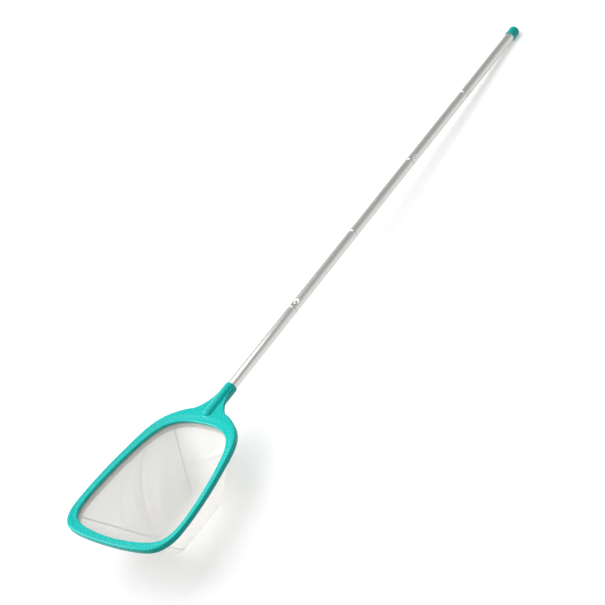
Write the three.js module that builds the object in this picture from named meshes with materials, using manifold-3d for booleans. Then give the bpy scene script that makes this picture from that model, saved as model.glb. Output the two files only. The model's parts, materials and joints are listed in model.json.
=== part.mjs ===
// Leaf skimmer net: a moulded net head with a sewn mesh bag, pushed onto a five-piece aluminium pole.
// Millimetres, +Z up. Every piece is first built in pole axes: +Y runs up the pole from a datum just
// above the socket's mouth, +Z is square to the net's frame, and +X is across it. The whole net is
// then tilted to lie on the floor, on the bottom of its bag and on the end cap of its pole.
import * as THREE from 'three';
import { mergeVertices } from 'three/addons/utils/BufferGeometryUtils.js';
import Module from 'manifold-3d';

const wasm = await Module();
wasm.setup();

// Driving dimensions
const TUBE_R = 14;
const TUBE_WALL = 1;
const JOINT_PITCH = 310;
const FIRST_BUTTON_Y = 280;
const JOINT_CLOCKS = [22, 130, 70, 105]; // degrees from +Z towards +X, one for each push button
const CAP_TIP_Y = 1513;
const CAP_LENGTH = 36;
const SOCKET_MOUTH_Y = -29;
const SOCKET_LENGTH = 118;
const SOCKET_FLOOR = 12; // closed end of the socket, inside the plate
const SOCKET_R = 17.2;
const RIM_THICKNESS = 9;
const RIM_DISH = 0.3; // slope of the rim's top, falling towards the opening
const RIM_WIDTH = 20;
const SKIRT_HEIGHT = -7.5; // lower edge of the skirt round the rim's outside
const SKIRT_WIDTH = 5.5;
const BAG_CLOTH = 0.8;
const GAP = 0.3; // clearance between touching pieces
const TILT = THREE.MathUtils.degToRad(4.7);
const STATIONS = 72; // cross-sections round the net's opening

// The net's opening in plan, from the middle of the pole end to the middle of the front bar, as
// [x, y, width of the rim outside it]. The pole end is the plate that carries the socket.
const OPENING_OUTLINE = [
  [0, -166, 50], [50, -169, 45], [90, -182, 35], [116, -205, 31], [135, -240, 26],
  [151, -300, 22], [162, -360, 21], [169, -420, 20], [171, -475, 20], [164, -512, 24],
  [144, -535, 30], [98, -550, 27], [0, -559, 23],
];
// The bag's bottom in plan, each point below the opening's point of the same place in the list.
const BAG_BOTTOM_OUTLINE = [
  [0, -282], [18, -282], [33, -284], [41, -291], [44, -306], [46, -326], [47, -350],
  [47, -374], [46, -396], [45, -416], [38, -436], [20, -445], [0, -446],
];
const BAG_BOTTOM_MIDDLE_Y = -360;
const SCREW_PLACES = [2, 5, 8, 11]; // the outline's points beside the ring's screws, on each side

const TEAL = new THREE.MeshStandardMaterial({ color: 0x22c9ba, roughness: 0.35, metalness: 0 });
const ALUMINIUM = new THREE.MeshStandardMaterial({ color: 0xc9cac6, roughness: 0.3, metalness: 1 });
const STEEL = new THREE.MeshStandardMaterial({ color: 0xb9bcc0, roughness: 0.25, metalness: 1 });
const WHITE_MESH = new THREE.MeshStandardMaterial({ color: 0xf1f2f2, roughness: 0.8, metalness: 0 });
const WHITE_CORD = new THREE.MeshStandardMaterial({ color: 0xe6e7e7, roughness: 0.7, metalness: 0 });

// Geometry helpers

// A closed geometry as a solid that can be cut and joined, turned the right way out if need be.
function solidOf(geometry) {
  const bare = geometry.clone();
  bare.deleteAttribute('normal');
  bare.deleteAttribute('uv');
  const merged = mergeVertices(bare, 1e-4);
  const vertProperties = new Float32Array(merged.attributes.position.array);
  const triVerts = new Uint32Array(merged.index.array);
  if (signedVolume(vertProperties, triVerts) < 0) {
    for (let i = 0; i < triVerts.length; i += 3) {
      [triVerts[i], triVerts[i + 1]] = [triVerts[i + 1], triVerts[i]];
    }
  }
  return new wasm.Manifold(new wasm.Mesh({ numProp: 3, vertProperties, triVerts }));
}

function signedVolume(positions, triangles) {
  const corner = (i) => new THREE.Vector3().fromArray(positions, 3 * triangles[i]);
  let volume = 0;
  for (let i = 0; i < triangles.length; i += 3) {
    volume += corner(i).dot(corner(i + 1).cross(corner(i + 2))) / 6;
  }
  return volume;
}

function geometryOf(solid) {
  const mesh = solid.getMesh();
  const geometry = new THREE.BufferGeometry();
  geometry.setAttribute('position', new THREE.BufferAttribute(new Float32Array(mesh.vertProperties), 3));
  geometry.setIndex(new THREE.BufferAttribute(new Uint32Array(mesh.triVerts), 1));
  geometry.computeVertexNormals();
  return geometry;
}

// Skins closed loops of equal length: the last joins the first if ring is true, and otherwise the
// first and last are each closed by a fan round their middle.
function skinned(loops, ring) {
  const count = loops[0].length;
  const points = loops.flat();
  const triangles = [];
  const bands = ring ? loops.length : loops.length - 1;
  for (let i = 0; i < bands; i += 1) {
    const next = (i + 1) % loops.length;
    for (let j = 0; j < count; j += 1) {
      const k = (j + 1) % count;
      const [a, b, c, d] = [i * count + j, i * count + k, next * count + k, next * count + j];
      triangles.push(a, b, c, a, c, d);
    }
  }
  if (!ring) {
    for (const [loop, turn] of [[0, 1], [loops.length - 1, -1]]) {
      const middle = loops[loop].reduce((sum, p) => sum.add(p), new THREE.Vector3());
      points.push(middle.divideScalar(count));
      for (let j = 0; j < count; j += 1) {
        const edge = [loop * count + j, loop * count + ((j + 1) % count)];
        triangles.push(points.length - 1, ...(turn > 0 ? edge.reverse() : edge));
      }
    }
  }
  const geometry = new THREE.BufferGeometry().setFromPoints(points);
  geometry.setIndex(triangles);
  return solidOf(geometry);
}

// A solid of revolution about the pole's axis, from a profile of [radius, y] points.
function turned(profile, segments = 30) {
  const points = profile.map(([radius, y]) => new THREE.Vector2(radius, y));
  return solidOf(new THREE.LatheGeometry(points, segments));
}

// Turns a geometry, built with a push button along +Z at y = 0, to its joint's clock and place.
function aimed(geometry, joint) {
  const turn = THREE.MathUtils.degToRad(JOINT_CLOCKS[joint]);
  return geometry.clone().rotateY(turn).translate(0, buttonY(joint), 0);
}

const buttonY = (joint) => FIRST_BUTTON_Y + joint * JOINT_PITCH;

// A closed plan curve through a mirrored half outline. Its z carries the rim's width, if given.
function closedOutline(half) {
  const mirrored = half.slice(1, -1).reverse().map(([x, y, width]) => [-x, y, width]);
  const points = [...half, ...mirrored].map(([x, y, width = 0]) => new THREE.Vector3(x, y, width));
  return new THREE.CatmullRomCurve3(points, true, 'centripetal');
}

const openingCurve = closedOutline(OPENING_OUTLINE);
const bottomCurve = closedOutline(BAG_BOTTOM_OUTLINE);
const OUTLINE_POINTS = openingCurve.points.length;

// The middle of the rim's thickness above the pole's axis, at a distance in from the opening's edge.
const RIM_LIFT = -2;
const rimMiddle = (fromEdge) => RIM_LIFT + RIM_DISH * Math.min(fromEdge, RIM_WIDTH);
const rimUnderside = (fromEdge) => rimMiddle(fromEdge) - RIM_THICKNESS / 2;

// The point of the net head at a place round the opening (0 to 1), a distance out from its edge.
function rimPoint(place, fromEdge, height) {
  const step = 0.001;
  const along = openingCurve.getPoint((place + step) % 1).sub(openingCurve.getPoint((place + 1 - step) % 1));
  const outward = new THREE.Vector3(-along.y, along.x, 0).normalize();
  return openingCurve.getPoint(place).addScaledVector(outward, fromEdge).setZ(height);
}

const rimWidth = (place) => openingCurve.getPoint(place).z;

const places = Array.from({ length: STATIONS }, (_, i) => i / STATIONS);

// Net frame: a dished rim with rounded edges and a skirt round its outside, widening into the plate
// that carries the pole socket.

function rimSection(place) {
  const edge = 3.8;
  const chamfer = 1;
  const width = rimWidth(place);
  const section = [];
  const addPoint = (fromEdge, height) => section.push(rimPoint(place, fromEdge, height));
  const addCorner = (centre, side, from) => {
    for (const angle of [from, from + 45, from + 90]) {
      const turn = THREE.MathUtils.degToRad(angle);
      const height = rimMiddle(centre) + side * (RIM_THICKNESS / 2 - edge);
      addPoint(centre + edge * Math.cos(turn), height + edge * Math.sin(turn));
    }
  };
  addCorner(width - edge, 1, 0);
  for (const share of [2 / 3, 1 / 3]) {
    const fromEdge = edge + (width - 2 * edge) * share;
    addPoint(fromEdge, rimMiddle(fromEdge) + RIM_THICKNESS / 2);
  }
  addCorner(edge, 1, 90);
  addCorner(edge, -1, 180);
  const skirtInside = width - SKIRT_WIDTH;
  addPoint((edge + skirtInside) / 2, rimUnderside((edge + skirtInside) / 2));
  addPoint(skirtInside - chamfer, rimUnderside(skirtInside - chamfer));
  addPoint(skirtInside, SKIRT_HEIGHT);
  addPoint(width - chamfer, SKIRT_HEIGHT);
  addPoint(width, SKIRT_HEIGHT + chamfer);
  return section;
}

const SCREW_FROM_EDGE = 9.5;
const SCREW_SHANK_R = 1.5;
const screwSpots = SCREW_PLACES.flatMap((point) => [point, OUTLINE_POINTS - point])
  .map((point) => rimPoint(point / OUTLINE_POINTS, SCREW_FROM_EDGE, 0));

function screwHole(spot, bottom, top) {
  const hole = new THREE.CylinderGeometry(SCREW_SHANK_R + GAP, SCREW_SHANK_R + GAP, top - bottom, 12);
  return solidOf(hole.rotateX(Math.PI / 2).translate(spot.x, spot.y, (top + bottom) / 2));
}

const RING_TOP_BELOW_RIM = 2.4;
const RING_THICKNESS = 4;
const SCREW_TIP_Z = rimMiddle(SCREW_FROM_EDGE) + 1.5;
const SCREW_HEAD_Z = rimUnderside(SCREW_FROM_EDGE) - RING_TOP_BELOW_RIM - RING_THICKNESS - 1;

// The flare: the plate's concave run from its shoulders out along both sides of the socket.
function socketFlare() {
  const [tip, root, halfWidth] = [-62, -131, 68];
  const waist = new THREE.Vector2(27, -112);
  const outline = new THREE.Shape();
  outline.moveTo(-halfWidth, root);
  outline.lineTo(halfWidth, root);
  outline.quadraticCurveTo(waist.x, waist.y, SOCKET_R - 2, tip);
  outline.lineTo(2 - SOCKET_R, tip);
  outline.quadraticCurveTo(-waist.x, waist.y, -halfWidth, root);
  const bevel = { bevelThickness: 3, bevelSize: 3, bevelSegments: 2 };
  const flare = new THREE.ExtrudeGeometry(outline, { depth: RIM_THICKNESS - 6, curveSegments: 8, ...bevel });
  return solidOf(flare.translate(0, 0, rimMiddle(RIM_WIDTH) - RIM_THICKNESS / 2 + 3));
}

function netFrame() {
  let frame = skinned(places.map(rimSection), true);
  const inner = SOCKET_MOUTH_Y - SOCKET_LENGTH;
  const mouth = SOCKET_MOUTH_Y;
  const socket = turned([
    [0, inner], [10, inner + 1], [15, inner + 4.5], [SOCKET_R, inner + 10],
    [SOCKET_R, mouth - 1.5], [SOCKET_R - 1.5, mouth], [0, mouth],
  ]);
  const bore = turned([
    [0, inner + SOCKET_FLOOR], [TUBE_R + GAP, inner + SOCKET_FLOOR],
    [TUBE_R + GAP, mouth + 1], [0, mouth + 1],
  ]);
  frame = frame.add(socketFlare()).add(socket).subtract(bore);
  for (const spot of screwSpots) {
    frame = frame.subtract(screwHole(spot, SCREW_HEAD_Z, SCREW_TIP_Z + GAP));
  }
  return frame;
}

// Retaining ring: clamps the bag's hem and its cord against the underside of the rim.

function retainingRing() {
  const [near, far] = [3.1, 13.2];
  const section = (place) => [
    rimPoint(place, near, rimUnderside(near) - RING_TOP_BELOW_RIM),
    rimPoint(place, near, rimUnderside(near) - RING_TOP_BELOW_RIM - RING_THICKNESS + 1),
    rimPoint(place, near + 1, rimUnderside(near) - RING_TOP_BELOW_RIM - RING_THICKNESS),
    rimPoint(place, far - 1, rimUnderside(far) - RING_TOP_BELOW_RIM - RING_THICKNESS),
    rimPoint(place, far, rimUnderside(far) - RING_TOP_BELOW_RIM - RING_THICKNESS + 1),
    rimPoint(place, far, rimUnderside(far) - RING_TOP_BELOW_RIM),
  ];
  let ring = skinned(places.map(section), true);
  for (const spot of screwSpots) {
    ring = ring.subtract(screwHole(spot, SCREW_HEAD_Z - 1, SCREW_TIP_Z));
  }
  return ring;
}

// Screw: a pan head under the ring and a plain shank up into the rim.
function ringScrew(spot) {
  const head = SCREW_HEAD_Z;
  const shank = SCREW_SHANK_R;
  const profile = [
    [0, head - 2], [2.2, head - 2], [3.1, head - 1.2], [3.1, head - GAP / 2],
    [shank, head - GAP / 2], [shank, SCREW_TIP_Z - 1], [0, SCREW_TIP_Z],
  ];
  const screw = new THREE.LatheGeometry(profile.map(([r, z]) => new THREE.Vector2(r, z)), 12);
  return solidOf(screw.rotateX(Math.PI / 2).translate(spot.x, spot.y, 0));
}

// Hem cord: the piping bead sewn into the hem, which keeps the bag from pulling out of the ring.
function hemCord() {
  const [fromEdge, radius, sides] = [6.1, 0.8, 6];
  const section = (place) => Array.from({ length: sides }, (_, i) => {
    const turn = (i * 2 * Math.PI) / sides;
    const middle = rimUnderside(fromEdge) - RING_TOP_BELOW_RIM / 2;
    return rimPoint(place, fromEdge + radius * Math.cos(turn), middle + radius * Math.sin(turn));
  });
  return skinned(places.map(section), true);
}

// Mesh bag: a folded hem, an upright hem band, and flat panels that narrow to a small flat bottom.

function meshBag(axisHeightAtMouth) {
  const [hemOut, hemFold, hemBand] = [5, 1.8, 16];
  const insideAt = 1.9;
  const outsideAt = insideAt + BAG_CLOTH;
  const rimLoop = (fromEdge, drop) => places.map(
    (place) => rimPoint(place, fromEdge, rimUnderside(fromEdge) - drop),
  );
  // The bottom is level once the net is tilted, so its height in pole axes changes along the pole.
  const bottomLoop = (inset, lift) => places.map((place) => {
    const point = bottomCurve.getPoint(place);
    const centre = new THREE.Vector3(0, BAG_BOTTOM_MIDDLE_Y, 0);
    point.addScaledVector(centre.sub(point).normalize(), inset);
    const height = (point.y * Math.sin(TILT) - axisHeightAtMouth) / Math.cos(TILT);
    return point.setZ(height + lift);
  });
  return skinned([
    bottomLoop(BAG_CLOTH, BAG_CLOTH),
    rimLoop(insideAt, hemBand),
    rimLoop(insideAt, GAP),
    rimLoop(hemOut, GAP),
    rimLoop(hemOut, GAP + hemFold),
    rimLoop(outsideAt, GAP + hemFold),
    rimLoop(outsideAt, hemBand),
    bottomLoop(0, 0),
  ], false);
}

// Push-button joints. The lower tube's narrowed end carries the button and slides into the next
// tube, whose wall is pressed in to a shallow saddle round the button's hole.

const SPIGOT_R = TUBE_R - TUBE_WALL - GAP;
const SPIGOT_PAST_BUTTON = 50;
const MOUTH_BEFORE_BUTTON = 16;
const SHOULDER = 5;
const DIMPLE_FLAT = 11.5;
const SPIGOT_FLAT = 10;
const DIE_R = 35;
const BUTTON_R = 3.5;

// The round die, square to the tube, that presses the saddle. More wall means a larger die.
function die(extra, joint) {
  const cylinder = new THREE.CylinderGeometry(DIE_R + extra, DIE_R + extra, 40, 72);
  cylinder.rotateZ(Math.PI / 2).translate(0, 0, DIMPLE_FLAT + DIE_R);
  return solidOf(aimed(cylinder, joint));
}

// Everything above the flat of a spigot, from just before its button to past its end.
function aboveFlat(height, lead, joint) {
  const length = lead + SPIGOT_PAST_BUTTON + 2;
  const block = new THREE.BoxGeometry(40, length, 20);
  block.translate(0, length / 2 - lead, height + 10);
  return solidOf(aimed(block, joint));
}

// The button's slot, longer on the cap side, where the button swings as it is pressed.
function buttonSlot(joint) {
  const [radius, swing] = [BUTTON_R + 0.4, 1.4];
  const outline = new THREE.Shape();
  outline.absarc(0, swing, radius, 0, Math.PI, false);
  outline.absarc(0, 0, radius, Math.PI, 2 * Math.PI, false);
  const slot = new THREE.ExtrudeGeometry(outline, { depth: 14, bevelEnabled: false, curveSegments: 8 });
  return solidOf(aimed(slot.translate(0, 0, 5), joint));
}

const JOINTS = JOINT_CLOCKS.length;
const TUBE_END_Y = CAP_TIP_Y - 6;
const FIRST_TUBE_START_Y = SOCKET_MOUTH_Y - SOCKET_LENGTH + SOCKET_FLOOR + 5;

function poleSection(index) {
  const first = index === 0;
  const last = index === JOINTS;
  const start = first ? FIRST_TUBE_START_Y : buttonY(index - 1) - MOUTH_BEFORE_BUTTON;
  const end = last ? TUBE_END_Y : buttonY(index) + SPIGOT_PAST_BUTTON;
  const tube = (reduced, overrun) => {
    const outside = [[0, start - overrun], [TUBE_R - reduced, start - overrun]];
    if (last) {
      outside.push([TUBE_R - reduced, end + overrun]);
    } else {
      const shoulder = buttonY(index) - MOUTH_BEFORE_BUTTON - 1;
      outside.push([TUBE_R - reduced, shoulder - SHOULDER], [SPIGOT_R - reduced, shoulder]);
      outside.push([SPIGOT_R - reduced, end + overrun]);
    }
    return turned([...outside, [0, end + overrun]]);
  };
  let outside = tube(0, 0);
  let inside = tube(TUBE_WALL, 1);
  if (!first) {
    outside = outside.subtract(die(0, index - 1));
    inside = inside.subtract(die(TUBE_WALL, index - 1));
  }
  if (!last) {
    outside = outside.subtract(aboveFlat(SPIGOT_FLAT, 14, index));
    inside = inside.subtract(aboveFlat(SPIGOT_FLAT - TUBE_WALL, 15, index));
  }
  let section = outside.subtract(inside);
  if (!first) section = section.subtract(buttonSlot(index - 1));
  if (!last) section = section.subtract(buttonSlot(index));
  return section;
}

// Spring clip: a V of spring steel. Its lower leaf and bend stay put, its upper leaf carries the
// button and hinges at the end of the bend. Outlines are [distance towards the head, height].

const LEAF = 0.8;
const LEAF_WIDTH = 8;
const HINGE_AT = 46;
const ANCHOR_HEIGHT = -10.6;
const PAD_HEIGHT = SPIGOT_FLAT - TUBE_WALL - GAP;

// Extrudes an outline of [distance towards the head, height] across the clip's width.
function strip(outline, joint) {
  const leaf = new THREE.ExtrudeGeometry(outline, {
    depth: LEAF_WIDTH, bevelEnabled: false, curveSegments: 8,
  });
  leaf.translate(0, 0, -LEAF_WIDTH / 2);
  leaf.rotateX(Math.PI / 2).rotateZ(-Math.PI / 2);
  return solidOf(aimed(leaf, joint));
}

function springClip(joint) {
  const outline = new THREE.Shape();
  const bendR = -ANCHOR_HEIGHT / 2;
  outline.moveTo(-6, ANCHOR_HEIGHT);
  outline.lineTo(HINGE_AT, ANCHOR_HEIGHT);
  outline.absarc(HINGE_AT, -bendR, bendR, -Math.PI / 2, Math.PI / 2, false);
  outline.absarc(HINGE_AT, -bendR, bendR - LEAF, Math.PI / 2, -Math.PI / 2, true);
  outline.lineTo(-6, ANCHOR_HEIGHT + LEAF);
  return strip(outline, joint);
}

function pushButton(joint) {
  const outline = new THREE.Shape();
  const leafEnd = HINGE_AT - 0.4;
  outline.moveTo(leafEnd, -LEAF);
  outline.lineTo(leafEnd, 0);
  outline.lineTo(8, PAD_HEIGHT);
  outline.lineTo(-6, PAD_HEIGHT);
  outline.lineTo(-6, PAD_HEIGHT - LEAF);
  outline.lineTo(8, PAD_HEIGHT - LEAF);
  const top = DIMPLE_FLAT + 3;
  const profile = [
    [0, PAD_HEIGHT - 0.2], [BUTTON_R, PAD_HEIGHT - 0.2], [BUTTON_R, top - 1.6],
    [BUTTON_R - 0.5, top - 0.7], [BUTTON_R - 1.6, top - 0.1], [0, top],
  ];
  const stud = new THREE.LatheGeometry(profile.map(([r, z]) => new THREE.Vector2(r, z)), 20);
  return strip(outline, joint).add(solidOf(aimed(stud.rotateX(Math.PI / 2), joint)));
}

// End cap: a moulded cup with a domed end, pushed over the last tube.
function endCap() {
  const [radius, open, domeStart] = [16.6, CAP_TIP_Y - CAP_LENGTH, CAP_TIP_Y - 9];
  const dome = [30, 60].map((angle) => {
    const turn = THREE.MathUtils.degToRad(angle);
    return [radius - 5 + 5 * Math.cos(turn), domeStart + 8 * Math.sin(turn)];
  });
  return turned([
    [0, TUBE_END_Y + GAP], [TUBE_R + GAP, TUBE_END_Y + GAP], [TUBE_R + GAP, open], [radius - 0.8, open],
    [radius, open + 0.8], [radius, domeStart], ...dome, [radius - 6.6, CAP_TIP_Y - 0.6], [0, CAP_TIP_Y],
  ]);
}

// Assembly: the pieces in pole axes, tilted until the end cap and the bag's bottom touch the floor.

const net = new THREE.Group();
net.rotation.x = -TILT;

function addPiece(name, solid, material) {
  const piece = new THREE.Mesh(geometryOf(solid), material);
  piece.name = name;
  net.add(piece);
}

function heightWhenTilted(geometry) {
  return new THREE.Box3().setFromBufferAttribute(
    geometry.clone().rotateX(-TILT).attributes.position,
  ).min.z;
}

const cap = endCap();
const axisHeightAtMouth = -heightWhenTilted(geometryOf(cap));

addPiece('net_frame', netFrame(), TEAL);
addPiece('mesh_bag', meshBag(axisHeightAtMouth), WHITE_MESH);
addPiece('hem_cord', hemCord(), WHITE_CORD);
addPiece('bag_retaining_ring', retainingRing(), TEAL);
screwSpots.forEach((spot, i) => addPiece(`ring_screw_${i + 1}`, ringScrew(spot), STEEL));
for (let index = 0; index <= JOINTS; index += 1) {
  addPiece(`pole_section_${index + 1}`, poleSection(index), ALUMINIUM);
}
for (let joint = 0; joint < JOINTS; joint += 1) {
  addPiece(`spring_clip_${joint + 1}`, springClip(joint), STEEL);
  addPiece(`push_button_${joint + 1}`, pushButton(joint), STEEL);
}
addPiece('end_cap', cap, TEAL);

net.position.z = axisHeightAtMouth;
net.updateMatrixWorld(true);
const span = new THREE.Box3().setFromObject(net, true);
net.position.y = -(span.min.y + span.max.y) / 2;

export default net;
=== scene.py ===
import json
import math

import bmesh
import bpy
import numpy as np
from mathutils import Matrix, Vector, noise


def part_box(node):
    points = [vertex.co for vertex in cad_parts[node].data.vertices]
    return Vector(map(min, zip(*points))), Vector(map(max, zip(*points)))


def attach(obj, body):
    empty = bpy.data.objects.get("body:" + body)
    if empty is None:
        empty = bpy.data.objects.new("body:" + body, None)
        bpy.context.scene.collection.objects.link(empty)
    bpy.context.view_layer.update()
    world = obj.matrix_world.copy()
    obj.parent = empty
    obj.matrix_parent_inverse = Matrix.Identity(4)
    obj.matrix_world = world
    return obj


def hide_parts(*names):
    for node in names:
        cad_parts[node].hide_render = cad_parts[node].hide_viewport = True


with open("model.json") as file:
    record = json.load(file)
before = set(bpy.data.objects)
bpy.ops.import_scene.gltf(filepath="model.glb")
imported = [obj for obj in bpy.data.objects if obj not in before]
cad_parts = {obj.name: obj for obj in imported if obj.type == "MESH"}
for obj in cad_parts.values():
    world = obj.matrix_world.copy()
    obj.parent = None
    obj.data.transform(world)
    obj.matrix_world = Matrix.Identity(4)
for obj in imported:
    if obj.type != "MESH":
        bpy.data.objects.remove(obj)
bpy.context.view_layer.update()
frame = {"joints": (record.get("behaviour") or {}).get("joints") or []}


# ---------------------------------------------------------------- the net as it lies on the floor
# The net rests on the flat bottom of its bag and on the pole's end cap, so the pole is tilted.
# Every piece is drawn in pole axes, in mm: x across the net, y up the pole from a datum just above
# the socket's mouth, z square to the rim. placed() takes such points to the floor's frame, in m.

MM = 0.001
LAST_TUBE_MIDDLE_Y = 1350.5
pull_off = next(joint for joint in frame["joints"] if joint["name"] == "pole_pull_off")
up_pole = Vector(pull_off["axis"]).normalized()
square_to_rim = Vector((0, -up_pole.z, up_pole.y))
AXES = np.array([(1, 0, 0), up_pole, square_to_rim])
TILT = math.atan2(-up_pole.z, up_pole.y)
last_tube_low, last_tube_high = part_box("pole_section_5")
DATUM = np.array((last_tube_low + last_tube_high) / 2 - up_pole * LAST_TUBE_MIDDLE_Y * MM)


def placed(points):
    return np.asarray(points, float) @ AXES * MM + DATUM


def floor_height(y):
    """Height above the pole's axis, in mm, of the floor below the place y up the pole."""
    return (y * math.sin(TILT) - DATUM[2] / MM) / math.cos(TILT)


# ---------------------------------------------------------------- teal polypropylene
# The head and the end cap are injection-moulded polypropylene: a bright, slightly waxy teal with
# a fine grain in the gloss, faint flow clouds in the colour and paler, rubbed edges.


def colour(code):
    """A linear colour from an sRGB hex code."""
    parts = [int(code[i:i + 2], 16) / 255 for i in (1, 3, 5)]
    return [c / 12.92 if c <= 0.04045 else ((c + 0.055) / 1.055) ** 2.4 for c in parts] + [1]


def add(tree, kind, inputs=None, **settings):
    """A shader node with its settings, and its inputs set to a value or linked to a socket."""
    made = tree.nodes.new("ShaderNode" + kind)
    for name, value in settings.items():
        setattr(made, name, value)
    for name, value in (inputs or {}).items():
        if isinstance(value, bpy.types.NodeSocket):
            tree.links.new(value, made.inputs[name])
        else:
            made.inputs[name].default_value = value
    return made


def new_material(name):
    """A material, its node tree, and where a surface point was drawn, in mm in pole axes."""
    material = bpy.data.materials.new(name)
    material.use_nodes = True
    tree = material.node_tree
    tree.nodes.clear()
    drawn = add(tree, "Attribute", attribute_name="drawn_mm")
    return material, tree, drawn.outputs["Vector"]


def stretched(tree, drawn, across, along):
    """Pattern coordinates with features of about these sizes in mm, across and along the pole."""
    scale = (1 / across, 1 / along, 1 / across)
    return add(tree, "VectorMath", {0: drawn, 1: scale}, operation="MULTIPLY").outputs[0]


def polypropylene():
    material, tree, drawn = new_material("injection_moulded_polypropylene_teal")
    clouds = add(tree, "TexNoise", {"Vector": stretched(tree, drawn, 34, 34), "Detail": 3.0})
    body = add(tree, "MapRange", {"Value": clouds.outputs[0], "From Min": 0.3, "From Max": 0.7})
    tint = add(
        tree, "MixRGB",
        {"Fac": body.outputs[0], "Color1": colour("#00a59e"), "Color2": colour("#00afa8")},
    )
    edges = add(tree, "NewGeometry").outputs["Pointiness"]
    rubbed = add(tree, "MapRange", {"Value": edges, "From Min": 0.56, "From Max": 0.68, "To Max": 0.25})
    worn = add(
        tree, "MixRGB",
        {"Fac": rubbed.outputs[0], "Color1": tint.outputs[0], "Color2": colour("#5fd0c6")},
    )
    # The mould's spark-eroded grain is about 0.4 mm; it is drawn at 0.8 mm so that it shows.
    grain = add(tree, "TexNoise", {"Vector": stretched(tree, drawn, 0.8, 0.8), "Detail": 2.0})
    shine = add(
        tree, "MapRange",
        {"Value": clouds.outputs[0], "From Min": 0.3, "From Max": 0.7, "To Min": 0.24, "To Max": 0.3},
    )
    sinks = add(tree, "TexNoise", {"Vector": stretched(tree, drawn, 26, 26), "Detail": 1.0})
    ripple = add(tree, "Bump", {"Height": sinks.outputs[0], "Distance": 0.0006, "Strength": 0.35})
    bump = add(
        tree, "Bump",
        {"Height": grain.outputs[0], "Distance": 0.00003, "Strength": 0.2,
         "Normal": ripple.outputs[0]},
    )
    surface = add(
        tree, "BsdfPrincipled",
        {"Base Color": worn.outputs[0], "Roughness": shine.outputs[0], "IOR": 1.49,
         "Specular IOR Level": 0.2, "Normal": bump.outputs[0]},
    )
    add(tree, "OutputMaterial", {"Surface": surface.outputs[0]})
    return material


TEAL = polypropylene()


# ---------------------------------------------------------------- net frame
# One moulding: a dished rim with rounded edges and a skirt round its outside, which widens at the
# pole's end into a plate. The plate runs out in two concave shoulders and in thin ribs along the
# round socket for the pole.

# The opening's plan from the middle of the plate to the middle of the front bar, as x, y and the
# width of the rim outside it.
OPENING_OUTLINE = [
    (0, -166, 50), (50, -169, 45), (90, -182, 35), (116, -205, 31), (135, -240, 26),
    (151, -300, 22), (162, -360, 21), (169, -420, 20), (171, -475, 20), (164, -512, 24),
    (144, -535, 30), (98, -550, 27), (0, -559, 23),
]
PLACES = 2 * (len(OPENING_OUTLINE) - 1)
COLUMNS = 15 * PLACES
RIM_THICKNESS = 9
RIM_LIFT = -2
RIM_SLOPE = 0.3
SKIRT_FOOT = -7.5
SKIRT_WIDTH = 5.5
SLOPE_WIDTH = 20
EDGE_RADIUS = 4.2
DISH = 0.9
SOCKET_RADIUS = 17.2
SOCKET_MOUTH_Y = -29
SOCKET_LENGTH = 118
SOCKET_FLOOR = 12
BORE_RADIUS = 14.3
VOXEL = 1.15


def smooth_loop(points, count):
    """A closed centripetal spline through points, as count points evenly spread by place."""
    points = np.asarray(points, float)
    total = len(points)
    place = np.arange(count) / count * total
    at = place.astype(int)
    p0, p1, p2, p3 = (points[(at + step) % total] for step in (-1, 0, 1, 2))
    share = (place - at)[:, None]

    def gap(a, b):
        return np.maximum(np.linalg.norm(a - b, axis=1), 1e-6)[:, None] ** 0.5

    d0, d1, d2 = gap(p0, p1), gap(p1, p2), gap(p2, p3)
    t1 = ((p1 - p0) / d0 - (p2 - p0) / (d0 + d1) + (p2 - p1) / d1) * d1
    t2 = ((p2 - p1) / d1 - (p3 - p1) / (d1 + d2) + (p3 - p2) / d2) * d1
    a = 2 * p1 - 2 * p2 + t1 + t2
    b = -3 * p1 + 3 * p2 - 2 * t1 - t2
    return ((a * share + b) * share + t1) * share + p1


def eased(loop, reach):
    """The loop with each point averaged over its neighbours, which evens out its curvature."""
    total = sum(np.roll(loop, step, axis=0) for step in range(-reach, reach + 1))
    return total / (2 * reach + 1)


def mirrored(half):
    """A half outline and its reflection across the pole, as one closed outline."""
    return [*half, *[(-x, *rest) for x, *rest in half[-2:0:-1]]]


opening = eased(smooth_loop(mirrored(OPENING_OUTLINE), COLUMNS), 5)
rim_width = opening[:, 2]
along = np.roll(opening, -1, axis=0)[:, :2] - np.roll(opening, 1, axis=0)[:, :2]
outward = np.column_stack([-along[:, 1], along[:, 0]])
outward /= np.linalg.norm(outward, axis=1)[:, None]


def rim_middle(from_edge):
    """Height of the middle of the rim's thickness: it falls to the opening, and is level beyond
    the slope's width, the two running smoothly together."""
    blend = 4.0
    reach = -blend * np.logaddexp(-np.asarray(from_edge, float) / blend, -SLOPE_WIDTH / blend)
    return RIM_LIFT + RIM_SLOPE * reach


def rim_underside(from_edge):
    return rim_middle(from_edge) - RIM_THICKNESS / 2


def round_opening(section):
    """Loops of points, one for each (distance out from the opening's edge, height) of section.
    Either number may be an array with one value for each column."""
    loops = []
    for from_edge, height in section:
        plan = opening[:, :2] + outward * np.broadcast_to(from_edge, COLUMNS)[:, None]
        loops.append(np.column_stack([plan, np.broadcast_to(height, COLUMNS)]))
    return np.array(loops)


def skin(loops, joined=False):
    """Points and quads between loops of equal length, the last joined to the first if asked."""
    rows, count = loops.shape[:2]
    quads = []
    for row in range(rows if joined else rows - 1):
        here, there = row * count, (row + 1) % rows * count
        for i in range(count):
            j = (i + 1) % count
            quads.append((here + i, here + j, there + j, there + i))
    return loops.reshape(-1, 3), quads


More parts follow.
